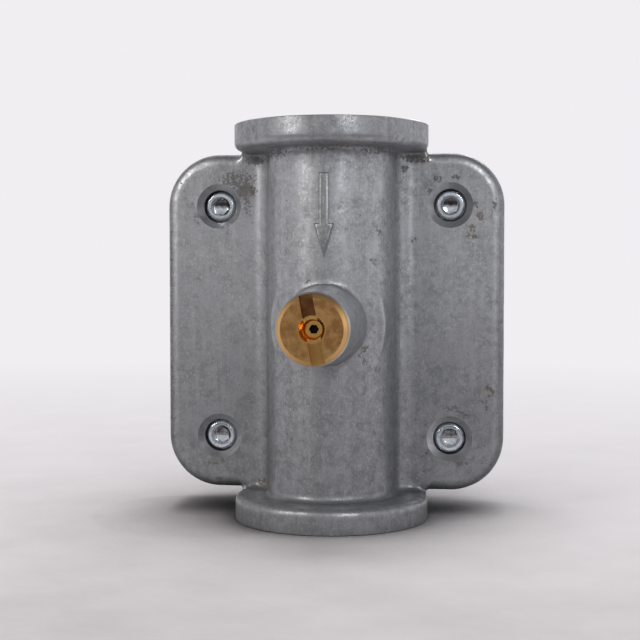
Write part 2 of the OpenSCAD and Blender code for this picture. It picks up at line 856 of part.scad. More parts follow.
valve_body();
seat_bush();
guide_bush();
sensing_jet();
poppet();
poppet_seal();
seal_retainer();
poppet_nut();
valve_stem();
front_diaphragm_plate();
diaphragm();
rear_diaphragm_plate();
stem_washer();
stem_nut();
return_spring();
spring_cup();
bias_screw();
bias_o_ring();
brass_plug();
plug_o_ring();
range_spring();
spring_button();
adjusting_screw();
lock_washer();
lock_nut();
rear_cover();
cover_screws();
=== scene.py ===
"""A cast diaphragm valve on a pale studio sweep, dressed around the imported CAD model."""
import json
import math

import bmesh
import bpy
import numpy as np
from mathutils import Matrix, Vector


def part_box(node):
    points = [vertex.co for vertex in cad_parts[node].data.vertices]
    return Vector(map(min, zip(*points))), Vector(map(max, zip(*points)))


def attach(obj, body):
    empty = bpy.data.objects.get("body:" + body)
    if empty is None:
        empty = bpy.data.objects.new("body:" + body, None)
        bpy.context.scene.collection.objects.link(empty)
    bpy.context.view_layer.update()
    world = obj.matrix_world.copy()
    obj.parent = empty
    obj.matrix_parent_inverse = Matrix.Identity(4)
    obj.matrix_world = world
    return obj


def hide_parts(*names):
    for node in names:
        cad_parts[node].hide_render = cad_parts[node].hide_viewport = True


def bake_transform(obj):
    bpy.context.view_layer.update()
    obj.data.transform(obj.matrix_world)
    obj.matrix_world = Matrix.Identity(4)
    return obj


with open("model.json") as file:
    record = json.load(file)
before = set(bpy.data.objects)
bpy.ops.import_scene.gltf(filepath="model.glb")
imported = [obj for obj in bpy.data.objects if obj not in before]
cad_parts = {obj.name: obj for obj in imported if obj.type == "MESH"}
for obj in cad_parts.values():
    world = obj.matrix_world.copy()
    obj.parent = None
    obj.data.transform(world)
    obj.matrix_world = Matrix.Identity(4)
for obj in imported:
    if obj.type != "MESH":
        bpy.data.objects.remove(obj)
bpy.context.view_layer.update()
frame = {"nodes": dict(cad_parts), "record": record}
nodes = frame["nodes"]

MM = 0.001

# Corners of CAD nodes in millimetres
body_low, body_high = (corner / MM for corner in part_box("valve_body"))
plug_low, plug_high = (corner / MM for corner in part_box("brass_plug"))
cover_low, cover_high = (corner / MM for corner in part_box("rear_cover"))
screws_low, screws_high = (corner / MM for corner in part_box("cover_screws"))
adjuster_low, adjuster_high = (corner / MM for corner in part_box("adjusting_screw"))
diaphragm_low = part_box("diaphragm")[0] / MM

# Body
BODY_H = body_high.z
MID_Z = BODY_H / 2
TUBE_R = 16.9
COLLAR_R = body_high.y
COLLAR_T = 6.65
COLLAR_ROUND = 1.8
COLLAR_FILLET = 1.6
PLATE_HALF_W = body_high.x
PLATE_HALF_H = MID_Z - COLLAR_T
PLATE_FRONT = 5.0
PLATE_BACK = diaphragm_low.y
CORNER_R = 14.5
EDGE_BEVEL = 1.1
EDGE_ROUND = 1.1
TUBE_FILLET = 6.0
FOOT_FILLET = 1.5
BOSS_TIP = body_low.y
BOSS_TIP_R = 9.0
BOSS_BASE_R = 10.5
BOSS_BASE = -15.0
BOSS_FILLET = 0.8
PAD_R = 15.2
PAD_FACE = -9.5
PORT_R = 12.06
PORT_DEPTH = 16.0
PASSAGE_R = 10.5
PARTITION = 2.0
WEB = 3.4
CHAMBER_R = 30.0
CHAMBER_FLOOR = 14.0
GUIDE_R = 4.0
GUIDE_BOSS_R = 6.5
GUIDE_FRONT = 8.0
JET_DROP = 15.0

# Cap screws
HEAD_R = 4.25
SCREW_AT = screws_high.x - HEAD_R
HEAD_FRONT = screws_low.y
HEAD_H = 5.0
SCREW_SEAT = HEAD_FRONT + HEAD_H
SHANK_R = 2.45
SOCKET_CORNER_R = 2.309

# Rear cover
COVER_FACE = cover_low.y
COVER_HALF_W = cover_high.x
COVER_HALF_H = (cover_high.z - cover_low.z) / 2
COVER_CORNER_R = 14.1
FLANGE_BACK = COVER_FACE + 8.0
SCREW_BOSS_R = 7.5
SCREW_BOSS_BACK = FLANGE_BACK + 2.6
COVER_CHAMBER_FLOOR = 27.0
DOME_R = 33.0
DOME_BACK = 31.0
DOME_ROUND = 2.4
BONNET_BACK = cover_high.y
BONNET_BASE_R = 15.4
BONNET_TIP_R = 13.6
BONNET_FLARE = 3.0
BONNET_CHAMFER = 1.2
BONNET_BORE_R = 11.5
BONNET_FLOOR = 46.0
RIB_T = 4.0
RIB_DROP = 3.0
ADJUSTER_R = 4.0
BREATHER_Y = (DOME_BACK + BONNET_FLOOR) / 2

# Plug
PLUG_FACE = plug_low.y
PLUG_R = plug_high.x

# Stains on the front as (x, z, half width, half height, strength) in millimetres; the long strips at x -45 are
# painted shade along the plate's left edge, and those at z 97 to 98 are grime and painted shade under the top collar
GRIME_AND_SHADE = [
    (-27.0, 91.6, 5.4, 2.4, 0.7), (-24.4, 88.8, 3.0, 2.4, 1.0), (-23.9, 84.4, 1.4, 3.4, 0.6),
    (-21.4, 97.0, 3.2, 1.2, 1.0),
    (-28.9, 92.8, 2.2, 1.4, 0.5), (-38.0, 82.0, 1.0, 0.8, 0.8), (-38.1, 80.2, 0.9, 0.8, 0.6),
    (-29.0, 77.2, 0.9, 0.7, 0.6), (19.4, 94.4, 1.0, 0.9, 0.9), (33.2, 92.1, 1.1, 0.9, 0.8),
    (28.0, 91.8, 1.3, 1.0, 0.7), (26.3, 88.4, 1.2, 1.3, 0.7), (38.4, 84.6, 1.2, 1.0, 0.8),
    (43.7, 84.4, 0.8, 1.2, 0.8), (22.1, 75.0, 1.0, 1.0, 0.6), (22.5, 97.2, 3.4, 1.3, 1.0),
    (42.8, 32.9, 1.0, 0.8, 0.8), (41.0, 31.2, 1.0, 0.8, 0.7), (41.9, 29.3, 0.9, 0.8, 0.7),
    (31.5, 29.2, 1.4, 0.8, 0.7), (33.2, 29.3, 1.2, 0.8, 0.7), (35.2, 27.6, 1.4, 0.8, 0.7),
    (36.5, 27.1, 1.0, 0.8, 0.6), (22.2, 25.9, 0.9, 0.9, 0.6), (25.0, 25.1, 0.9, 0.8, 0.6),
    (25.8, 16.9, 1.0, 0.8, 0.6), (40.0, 19.2, 0.9, 0.9, 0.6), (34.9, 14.2, 1.8, 0.8, 0.8),
    (42.5, 14.3, 3.2, 2.6, 0.35), (-22.9, 31.3, 1.2, 1.6, 0.5), (-33.0, 13.2, 1.6, 0.7, 0.7),
    # the last entry on this line and the next line are painted shade along the plate's left edge
    (-30.6, 14.2, 1.0, 1.2, 0.6), (-31.7, 8.9, 1.4, 0.8, 0.6), (-45.4, 30.0, 1.0, 16.0, 0.6),
    (-45.6, 62.0, 1.0, 22.0, 0.5),
    (8.4, 80.9, 0.9, 0.8, 0.4), (12.0, 69.5, 0.9, 0.9, 0.6), (-4.4, 65.6, 0.8, 0.8, 0.5),
    (-4.4, 63.6, 0.8, 0.8, 0.5), (13.7, 76.9, 0.8, 0.9, 0.6), (4.4, 68.8, 0.8, 0.7, 0.4),
    # the last entry on this line and the next line are grime and painted shade under the top collar
    (13.0, 41.0, 0.9, 0.9, 0.6), (-9.6, 37.8, 0.8, 0.8, 0.4), (-13.5, 97.6, 4.0, 1.2, 0.7),
    (13.0, 97.8, 4.0, 1.0, 0.7), (0.0, 98.2, 9.0, 0.8, 0.5),
]
RUST = [
    (39.6, 81.8, 1.1, 0.9, 1.0), (40.2, 80.6, 0.9, 0.8, 0.9), (37.7, 78.3, 1.1, 0.9, 1.0),
    (36.8, 76.3, 0.9, 0.9, 0.8), (38.6, 75.7, 0.9, 0.8, 0.9), (42.2, 34.9, 1.1, 0.9, 0.9),
    (43.0, 34.4, 0.9, 0.8, 0.8), (10.0, 46.7, 0.9, 0.8, 0.9), (9.0, 44.8, 0.8, 0.8, 0.8),
    (10.1, 43.1, 0.8, 0.8, 0.8), (-19.6, 8.5, 1.8, 1.0, 0.8), (-22.6, 88.6, 0.9, 1.4, 0.6),
    (24.0, 96.6, 1.6, 1.0, 0.7),
]


def length(*parts):
    return np.sqrt(sum(part * part for part in parts))


def union_round(a, b, r):
    """Joins two solids with a concave fillet of radius r."""
    return np.maximum(r, np.minimum(a, b)) - length(np.maximum(r - a, 0), np.maximum(r - b, 0))


def cut_round(a, b, r):
    """Keeps what lies in both solids and rounds the edge between them with radius r."""
    return np.minimum(-r, np.maximum(a, b)) + length(np.maximum(r + a, 0), np.maximum(r + b, 0))


def slab(v, low, high):
    return np.maximum(low - v, v - high)


def disc(radial, r, along, low, high):
    return np.maximum(radial - r, slab(along, low, high))


def rounded_rectangle(x, z, half_w, half_h, corner):
    qx = np.abs(x) - (half_w - corner)
    qz = np.abs(z) - (half_h - corner)
    outside = length(np.maximum(qx, 0), np.maximum(qz, 0))
    return outside + np.minimum(np.maximum(qx, qz), 0) - corner


def waviness(x, y, z):
    """Slow unevenness of a casting's skin, up to a few hundredths of a millimetre inwards."""
    return (
        0.03
        + 0.018 * np.sin(0.43 * x + 0.9) * np.sin(0.31 * z + 0.4 * y)
        + 0.012 * np.sin(0.91 * x + 0.23 * z) * np.cos(0.67 * z - 0.5 * y + 1.7)
    )


def passage_form(x, y, z):
    """The S-shaped passage below the threads, with the partition across its middle."""
    pocket_start = MID_Z - PASSAGE_R - WEB
    form = None
    for up, side in ((z, 1), (BODY_H - z, -1)):
        across = length(x, y)
        run = disc(across, PASSAGE_R, up, PORT_DEPTH - 4, pocket_start)
        end = np.minimum(
            disc(across, PASSAGE_R, up, pocket_start - 1, MID_Z),
            length(x, y, up - MID_Z) - PASSAGE_R,
        )
        pocket = np.maximum(end, PARTITION - side * y)
        half = np.minimum(run, pocket)
        form = half if form is None else np.minimum(form, half)
    guide = disc(length(x, z - MID_Z), GUIDE_BOSS_R, y, GUIDE_FRONT, CHAMBER_FLOOR + 2)
    return cut_round(form, -guide, 0.6)


def body_form(x, y, z):
    """Signed distance to the body's casting, before any machining."""
    extra = 1.0
    across = length(x, y)
    around_boss = length(x, z - MID_Z)
    tube = across - TUBE_R
    outline = rounded_rectangle(x, z - MID_Z, PLATE_HALF_W, PLATE_HALF_H, CORNER_R)
    front = PLATE_FRONT - y
    bevel = (outline + front) / math.sqrt(2) + EDGE_BEVEL
    plate = cut_round(cut_round(outline, bevel, EDGE_ROUND), front, EDGE_ROUND)
    plate = np.maximum(union_round(plate, across - COLLAR_R, FOOT_FILLET), PLATE_FRONT - y)
    plate = np.maximum(plate, y - PLATE_BACK - extra)
    pad = cut_round(around_boss - PAD_R, slab(y, PAD_FACE, PLATE_FRONT + 2), 0.8)
    form = union_round(tube, pad, 1.2)
    form = union_round(form, plate, TUBE_FILLET)
    fillet = COLLAR_FILLET * np.clip((COLLAR_R - 0.5 - across) / 2, 0.02, 1)
    for up in (z, BODY_H - z):
        collar = cut_round(across - COLLAR_R, up - COLLAR_T, COLLAR_ROUND)
        form = union_round(form, collar, fillet)
    taper = (BOSS_BASE_R - BOSS_TIP_R) / (BOSS_BASE - BOSS_TIP)
    boss_r = BOSS_TIP_R + taper * (y - BOSS_TIP)
    boss = np.maximum(around_boss - boss_r, slab(y, BOSS_TIP - extra, 0))
    form = union_round(form, boss, BOSS_FILLET)
    form = np.maximum(form, slab(z, -extra, BODY_H + extra))
    form = cut_round(form, -passage_form(x, y, z), 0.5)
    return form + waviness(x, y, z)


def cover_form(x, y, z):
    """Signed distance to the rear cover's casting, before any machining."""
    extra = 1.0
    up = z - MID_Z
    around = length(x, up)
    outline = rounded_rectangle(x, up, COVER_HALF_W, COVER_HALF_H, COVER_CORNER_R)
    flange = np.maximum(cut_round(outline, y - FLANGE_BACK, 0.9), COVER_FACE - extra - y)
    dome = np.maximum(cut_round(around - DOME_R, y - DOME_BACK, DOME_ROUND), COVER_FACE - y)
    taper = (BONNET_BASE_R - BONNET_TIP_R) / (BONNET_BACK - DOME_BACK)
    wall = around - BONNET_BASE_R + taper * (y - DOME_BACK)
    bevel = (around + y - BONNET_TIP_R - BONNET_BACK + BONNET_CHAMFER) / math.sqrt(2)
    bonnet = np.maximum(cut_round(wall, bevel, 0.4), slab(y, COVER_FACE, BONNET_BACK + extra))
    bosses = length(np.abs(x) - SCREW_AT, np.abs(up) - SCREW_AT) - SCREW_BOSS_R
    bosses = np.maximum(cut_round(bosses, y - SCREW_BOSS_BACK, 0.6), COVER_FACE - y)
    along = (np.abs(x) + np.abs(up)) / math.sqrt(2)
    aside = np.abs(np.abs(x) - np.abs(up)) / math.sqrt(2)
    reach = math.sqrt(2) * SCREW_AT
    rib_top = BONNET_BACK - BONNET_CHAMFER - RIB_DROP
    run, rise = reach - BONNET_TIP_R, rib_top - SCREW_BOSS_BACK
    slope = (rise * (along - reach) + run * (y - SCREW_BOSS_BACK)) / math.hypot(run, rise)
    ribs = cut_round(aside - RIB_T / 2, np.maximum(slope, y - rib_top), 0.7)
    ribs = np.maximum(ribs, np.maximum(along - reach, COVER_FACE - y))
    form = union_round(flange, dome, 1.5)
    form = union_round(form, bonnet, BONNET_FLARE)
    form = union_round(form, bosses, 0.9)
    form = union_round(form, ribs, 1.4)
    return form + waviness(x, y, z)


def surface_mesh(name, form, low, high, step):
    """Closed quad mesh of the surface form = 0, with its vertices moved exactly onto it."""
    axes = [np.arange(a, b + step, step, dtype=np.float32) for a, b in zip(low, high)]
    grid = np.meshgrid(*axes, indexing="ij")
    field = form(*grid).astype(np.float32)
    inside = field < 0
    shape = tuple(n - 1 for n in field.shape)
    total = np.zeros(shape + (3,), np.float32)
    count = np.zeros(shape, np.float32)
    corners = [(i, j, k) for i in (0, 1) for j in (0, 1) for k in (0, 1)]

    def corner_of(values, c):
        return values[tuple(slice(o, n + o) for o, n in zip(c, shape))]

    for c in corners:
        for axis in range(3):
            if c[axis]:
                continue
            d = tuple(v + (a == axis) for a, v in enumerate(c))
            fa, fb = corner_of(field, c), corner_of(field, d)
            crossing = (fa < 0) != (fb < 0)
            share = np.where(crossing, fa / np.where(crossing, fa - fb, 1), 0)
            for a in range(3):
                offset = share if a == axis else c[a]
                total[..., a] += np.where(crossing, offset, 0)
            count += crossing
    used = count > 0
    index = np.full(shape, -1, np.int64)
    index[used] = np.arange(used.sum())
    cells = np.argwhere(used)
    origin = np.array([a[0] for a in axes])
    points = origin + (cells + total[used] / count[used][:, None]) * step

    quads = []
    for axis in range(3):
        b, c = (axis + 1) % 3, (axis + 2) % 3
        near = [slice(1, -1)] * 3
        near[axis] = slice(0, -1)
        far = list(near)
        far[axis] = slice(1, None)
        near, far = tuple(near), tuple(far)
        for state in (True, False):
            hit = np.argwhere((inside[near] == state) & (inside[far] != state))
            hit[:, b] += 1
            hit[:, c] += 1
            ring = []
            for db, dc in ((-1, -1), (0, -1), (0, 0), (-1, 0)):
                cell = hit.copy()
                cell[:, b] += db
                cell[:, c] += dc
                ring.append(index[cell[:, 0], cell[:, 1], cell[:, 2]])
            quad = np.stack(ring, 1)
            quads.append(quad if state else quad[:, ::-1])
    quads = np.concatenate(quads)

    tiny = step * 0.02
    for _ in range(3):
        x, y, z = points.T
        value = form(x, y, z)
        slope = np.stack([
            form(x + tiny, y, z) - form(x - tiny, y, z),
            form(x, y + tiny, z) - form(x, y - tiny, z),
            form(x, y, z + tiny) - form(x, y, z - tiny),
        ], 1) / (2 * tiny)
        steep = np.maximum((slope ** 2).sum(1), 0.25)
        move = slope * (value / steep)[:, None]
        reach = np.maximum(np.linalg.norm(move, axis=1) / (0.4 * step), 1)
        points -= move / reach[:, None]

    mesh = bpy.data.meshes.new(name)
    mesh.from_pydata((points * MM).tolist(), [], quads.tolist())
    mesh.validate()
    return mesh


def mark_surface(obj, form):
    """Notes on every point how sharply the casting bends there, where the plate's edge band and the raised arrow take
    painted shade, and how stained it is, its stains holding some painted shade too.
    """
    mesh = obj.data
    places = np.empty(len(mesh.vertices) * 3, np.float32)
    mesh.vertices.foreach_get("co", places)
    x, y, z = places.reshape(-1, 3).astype(float).T / MM
    reach = 0.6
    bend = -6 * form(x, y, z)
    for side in (-reach, reach):
        bend = bend + form(x + side, y, z) + form(x, y + side, z) + form(x, y, z + side)
    bend = bend / reach ** 2
    on_front = y < PLATE_FRONT + 1.5
    outline = rounded_rectangle(x, z - MID_Z, PLATE_HALF_W, PLATE_HALF_H, CORNER_R)
    marks = {
        "edge": np.clip((bend - 0.15) / 0.5, 0, 1),
        "hollow": np.clip((-bend - 0.12) / 0.6, 0, 1),
        # rim: the plate's edge band, which the material darkens as painted shade
        "rim": np.clip((outline + 1.9) / 0.6, 0, 1) * (y > PLATE_FRONT - 0.5),
    }
    # the raised arrow's face joins the rim mark, for the same painted shade
    proud = 0.7 * np.clip((form(x, y, z) - 0.1) / 0.1, 0, 1)
    marks["rim"] = np.maximum(marks["rim"], proud)
    for name, stains in (("grime_and_shade", GRIME_AND_SHADE), ("rust", RUST)):
        marks[name] = np.zeros(len(x))
        for at_x, at_z, half_w, half_h, strength in stains:
            away = length((x - at_x) / half_w, (z - at_z) / half_h)
            amount = strength * np.clip(1.5 - away, 0, 1) * on_front
            marks[name] = np.maximum(marks[name], amount)
    for name, values in marks.items():
        attribute = mesh.attributes.new(name, "FLOAT", "POINT")
        attribute.data.foreach_set("value", values.astype(np.float32))


def new_object(name, mesh):
    obj = bpy.data.objects.new(name, mesh)
    bpy.context.scene.collection.objects.link(obj)
    return obj


def solid_object(name, verts, faces):
    """A closed solid from points in millimetres, with its faces turned outwards."""
    mesh = bpy.data.meshes.new(name)
    mesh.from_pydata([tuple(v * MM for v in p) for p in verts], [], faces)
    form = bmesh.new()
    form.from_mesh(mesh)
    bmesh.ops.recalc_face_normals(form, faces=form.faces)
    form.to_mesh(mesh)
    form.free()
    return new_object(name, mesh)


def prism(name, levels):
    """Closed solid through outlines of equally many points, from the first to the last."""
    n = len(levels[0])
    verts = [point for level in levels for point in level]
    faces = [tuple(range(n)), tuple(reversed(range(len(verts) - n, len(verts))))]
    for k in range(len(levels) - 1):
        low, high = k * n, (k + 1) * n
        faces += [(low + i, low + (i + 1) % n, high + (i + 1) % n, high + i) for i in range(n)]
    return solid_object(name, verts, faces)


def block(name, low, high):
    corners = [(low[0], low[1]), (high[0], low[1]), (high[0], high[1]), (low[0], high[1])]
    return prism(name, [[(x, y, z) for x, y in corners] for z in (low[2], high[2])])


def eased(profile, r, steps=4):
    """Rounds the corners of a turned profile off to about radius r."""
    points = [np.array(p, float) for p in profile]
    result = [profile[0]]
    for before, corner, after in zip(points, points[1:], points[2:]):
        to_before, to_after = before - corner, after - corner
        back, ahead = np.linalg.norm(to_before), np.linalg.norm(to_after)
        reach = min(r, 0.45 * back, 0.45 * ahead)
        start = corner + to_before / back * reach
        end = corner + to_after / ahead * reach
        for i in range(steps + 1):
            t = i / steps
            result.append(tuple((1 - t) ** 2 * start + 2 * t * (1 - t) * corner + t * t * end))
    result.append(profile[-1])
    return result


def turned(name, profile, sides=96):
    """Closed solid turned about Z from (radius, height) points that start and end on the axis."""
    verts, faces, rings = [], [], []
    for r, h in profile:
        if r < 1e-6:
            rings.append([len(verts)])
            verts.append((0, 0, h))
            continue
        rings.append(list(range(len(verts), len(verts) + sides)))
        for i in range(sides):
            turn = 2 * math.pi * i / sides
            verts.append((r * math.cos(turn), r * math.sin(turn), h))
    for lower, upper in zip(rings, rings[1:]):
        for i in range(sides):
            j = (i + 1) % sides
            if len(lower) == 1:
                faces.append((lower[0], upper[j], upper[i]))
            elif len(upper) == 1:
                faces.append((lower[i], lower[j], upper[0]))
            else:
                faces.append((lower[i], lower[j], upper[j], upper[i]))
    return solid_object(name, verts, faces)


def threaded(name, profile, major_r, depth, pitch, thread_low, thread_high, sides=72):
    """Closed solid turned about Z whose skin carries a thread between two heights."""
    radii, heights = zip(*profile)
    rings = int((heights[-1] - heights[0]) / pitch * 12)
    levels = np.linspace(heights[0], heights[-1], rings + 1)
    turns = np.linspace(0, 1, sides, endpoint=False)
    phase = np.mod(levels[:, None] / pitch - turns[None, :], 1)
    groove = np.clip(1.5 - 4 * np.abs(phase - 0.5), 0, 1)
    fade = np.clip(np.minimum(levels - thread_low, thread_high - levels) / pitch, 0, 1)[:, None]
    plain = np.interp(levels, heights, radii)[:, None]
    radius = np.minimum(plain, np.where(fade > 0, major_r - depth * groove * fade, plain))
    return prism(name, [
        [(r * math.cos(2 * math.pi * t), r * math.sin(2 * math.pi * t), h) for t, r in zip(turns, row)]
        for h, row in zip(levels, radius)
    ])


def along_y(obj, x=0.0, z=None):
    """Turns a solid made along Z so that its heights become places along Y."""
    obj.rotation_euler = (math.radians(-90), 0, 0)
    obj.location = (x * MM, 0, (MID_Z if z is None else z) * MM)
    return obj


def flip_end(obj):
    """Moves a solid made for the outlet end to the inlet end."""
    obj.rotation_euler = (math.pi, 0, 0)
    obj.location = (0, 0, BODY_H * MM)
    return obj


def combine(obj, other, operation):
    bpy.context.view_layer.update()
    boolean = obj.modifiers.new("combine", "BOOLEAN")
    boolean.operation = operation
    boolean.solver = "MANIFOLD"
    boolean.material_mode = "TRANSFER"
    boolean.object = other
    bpy.context.view_layer.objects.active = obj
    bpy.ops.object.modifier_apply(modifier=boolean.name)
    bpy.data.objects.remove(other)


def cut(obj, cutter, material):
    """Machines a place away; the new faces take the cutter's material."""
    cutter.data.materials.append(material)
    combine(obj, cutter, "DIFFERENCE")


def smooth_by_angle(obj, degrees=30):
    mesh = obj.data
    mesh.polygons.foreach_set("use_smooth", [True] * len(mesh.polygons))
    mesh.set_sharp_from_angle(angle=math.radians(degrees))
    mesh.update()


def bake_place(obj):
    """Moves a piece's place into its mesh, so that its own coordinates are the frame's."""
    bpy.context.view_layer.update()
    obj.data.transform(obj.matrix_world)
    obj.matrix_world.identity()
    obj.location, obj.rotation_euler = (0, 0, 0), (0, 0, 0)


# Materials, with lengths in millimetres

def new_material(name):
    material = bpy.data.materials.new(name)
    material.use_nodes = True
    tree = material.node_tree
    return material, tree, tree.nodes["Principled BSDF"]


def link_or_set(tree, socket, value):
    if isinstance(value, (int, float)):
        socket.default_value = value
    elif isinstance(value, tuple):
        socket.default_value = (*value, 1)
    else:
        tree.links.new(value, socket)


def here(tree, stretch=(1, 1, 1)):
    """Place on the object in millimetres, each direction times its stretch."""
    coordinates = tree.nodes.new("ShaderNodeTexCoord")
    mapping = tree.nodes.new("ShaderNodeMapping")
    mapping.inputs["Scale"].default_value = [s / MM for s in stretch]
    tree.links.new(coordinates.outputs["Object"], mapping.inputs["Vector"])
    return mapping.outputs["Vector"]


def split(tree, vector):
    node = tree.nodes.new("ShaderNodeSeparateXYZ")
    tree.links.new(vector, node.inputs["Vector"])
    return node.outputs["X"], node.outputs["Y"], node.outputs["Z"]


def math_of(tree, operation, a, b=0.0):
    node = tree.nodes.new("ShaderNodeMath")
    node.operation = operation
    link_or_set(tree, node.inputs[0], a)
    link_or_set(tree, node.inputs[1], b)
    return node.outputs["Value"]


def times(tree, *values):
    product = values[0]
    for value in values[1:]:
        product = math_of(tree, "MULTIPLY", product, value)
    return product


def distance(tree, a, b):
    squares = math_of(tree, "ADD", times(tree, a, a), times(tree, b, b))
    return math_of(tree, "SQRT", squares)


def noise_of(tree, vector, size, detail=3.0, roughness=0.55, distortion=0.0):
    """Noise from 0 to 1 whose patches are about one size across."""
    node = tree.nodes.new("ShaderNodeTexNoise")
    node.inputs["Scale"].default_value = 1 / size
    node.inputs["Detail"].default_value = detail
    node.inputs["Roughness"].default_value = roughness
    node.inputs["Distortion"].default_value = distortion
    tree.links.new(vector, node.inputs["Vector"])
    return node.outputs["Fac"]


def spread(tree, value, low, high, out_low=0.0, out_high=1.0):
    node = tree.nodes.new("ShaderNodeMapRange")
    node.inputs["From Min"].default_value = low
    node.inputs["From Max"].default_value = high
    node.inputs["To Min"].default_value = out_low
    node.inputs["To Max"].default_value = out_high
    tree.links.new(value, node.inputs["Value"])
    return node.outputs["Result"]


def blend_colors(tree, share, a, b):
    node = tree.nodes.new("ShaderNodeMix")
    node.data_type = "RGBA"
    link_or_set(tree, node.inputs["Factor"], share)
    link_or_set(tree, node.inputs[6], a)
    link_or_set(tree, node.inputs[7], b)
    return node.outputs[2]


def mark(tree, name):
    node = tree.nodes.new("ShaderNodeAttribute")
    node.attribute_name = name
    return node.outputs["Fac"]


def specks(tree, vector, spacing, r, share):
    """Round specks of about radius r, in some of the cells of one spacing."""
    cells = tree.nodes.new("ShaderNodeTexVoronoi")
    cells.inputs["Scale"].default_value = 1 / spacing
    tree.links.new(vector, cells.inputs["Vector"])
    near = spread(tree, cells.outputs["Distance"], r / spacing, 0.6 * r / spacing)
    pick, _, _ = split(tree, cells.outputs["Color"])
    chosen = spread(tree, pick, 1 - share - 0.02, 1 - share + 0.02)
    return times(tree, near, chosen)


def bump(tree, heights, shader):
    """Chains bumps of (height output, strength, distance)."""
    normal = None
    for height, strength, reach in heights:
        node = tree.nodes.new("ShaderNodeBump")
        node.inputs["Strength"].default_value = strength
        node.inputs["Distance"].default_value = reach * MM
        tree.links.new(height, node.inputs["Height"])
        if normal:
            tree.links.new(normal, node.inputs["Normal"])
        normal = node.outputs["Normal"]
    tree.links.new(normal, shader.inputs["Normal"])


def cast_metal():
    """Die-cast skin: mottled grey, streaked along the tube, pitted, stained and rubbed at its edges, darker in its
    creases, with painted shade towards the bottom, on the top collar, along the plate's edge band and on the arrow's
    face.
    """
    material, tree, shader = new_material("die_cast_skin")
    place = here(tree)
    x, y, z = split(tree, place)
    fine = noise_of(tree, place, 0.7, 3, 0.6)
    mottle = noise_of(tree, place, 2.2, 5, 0.62, 0.3)
    cloud = noise_of(tree, place, 9.0, 3, 0.5)
    streak = noise_of(tree, here(tree, (1, 1, 0.1)), 1.6, 4, 0.6)
    grain = noise_of(tree, here(tree, (1, 1, 0.6)), 0.45, 2, 0.5)
    pits = specks(tree, place, 3.2, 0.32, 0.3)
    tone = blend_colors(tree, spread(tree, mottle, 0.32, 0.68), (0.245, 0.255, 0.270), (0.440, 0.452, 0.474))
    tone = blend_colors(tree, spread(tree, fine, 0.38, 0.68, 0, 0.45), tone, (0.215, 0.222, 0.232))
    tone = blend_colors(tree, spread(tree, grain, 0.55, 0.72, 0, 0.55), tone, (0.60, 0.61, 0.63))
    tone = blend_colors(tree, spread(tree, streak, 0.5, 0.75, 0, 0.45), tone, (0.50, 0.51, 0.53))
    tone = blend_colors(tree, spread(tree, cloud, 0.5, 0.72, 0, 0.40), tone, (0.47, 0.48, 0.52))
    rubbed = times(tree, mark(tree, "edge"), spread(tree, mottle, 0.3, 0.6, 0.1, 0.4))
    tone = blend_colors(tree, rubbed, tone, (0.48, 0.49, 0.51))
    # painted shade: darker towards the bottom, on the top collar, along the plate's edge band and on the arrow's face
    dim = times(tree, spread(tree, z, 22, 78, 0.68, 1.06),
                spread(tree, z, BODY_H - COLLAR_T - 0.5, BODY_H - COLLAR_T + 1, 1, 0.76),
                spread(tree, mark(tree, "rim"), 0, 1, 1, 0.60))
    tone = blend_colors(tree, dim, (0.0, 0.0, 0.0), tone)
    # darker in concave creases and fillets
    crease_darkening = times(tree, mark(tree, "hollow"), spread(tree, mottle, 0.42, 0.62, 0.1, 0.5))
    tone = blend_colors(tree, crease_darkening, tone, (0.16, 0.158, 0.155))
    speckle = spread(tree, fine, 0.35, 0.65, -0.4, 0.4)
    # stains darken the tone, and so does the painted shade listed among them
    tone = blend_colors(tree, times(tree, mark(tree, "grime_and_shade"), 0.35), tone, (0.16, 0.155, 0.15))
    grime_and_shade = spread(tree, math_of(tree, "ADD", mark(tree, "grime_and_shade"), speckle), 0.42, 0.66)
    grime_and_shade = times(tree, grime_and_shade, spread(tree, mark(tree, "grime_and_shade"), 0.02, 0.25))
    tone = blend_colors(tree, times(tree, grime_and_shade, 0.6), tone, (0.070, 0.066, 0.062))
    rust = spread(tree, math_of(tree, "ADD", mark(tree, "rust"), speckle), 0.42, 0.66)
    rust = times(tree, rust, spread(tree, mark(tree, "rust"), 0.02, 0.25))
    tone = blend_colors(tree, times(tree, rust, 0.7), tone, (0.105, 0.075, 0.048))
    tone = blend_colors(tree, times(tree, pits, 0.7), tone, (0.075, 0.070, 0.068))
    tree.links.new(tone, shader.inputs["Base Color"])
    soiled = math_of(tree, "MAXIMUM", math_of(tree, "MAXIMUM", grime_and_shade, rust), pits)
    tree.links.new(spread(tree, soiled, 0, 1, 0.72, 0.35), shader.inputs["Metallic"])
    rough = spread(tree, mottle, 0.3, 0.7, 0.47, 0.33)
    rough = math_of(tree, "ADD", rough, spread(tree, cloud, 0.4, 0.7, 0.03, -0.05))
    rough = math_of(tree, "ADD", rough, spread(tree, fine, 0.35, 0.65, -0.05, 0.07))
    rough = math_of(tree, "ADD", rough, times(tree, soiled, 0.2))
    tree.links.new(rough, shader.inputs["Roughness"])
    sunk = spread(tree, soiled, 0, 1, 1, 0)
    bump(tree, [(fine, 0.45, 0.05), (mottle, 0.5, 0.10), (streak, 0.25, 0.06), (sunk, 0.4, 0.08)], shader)
    return material


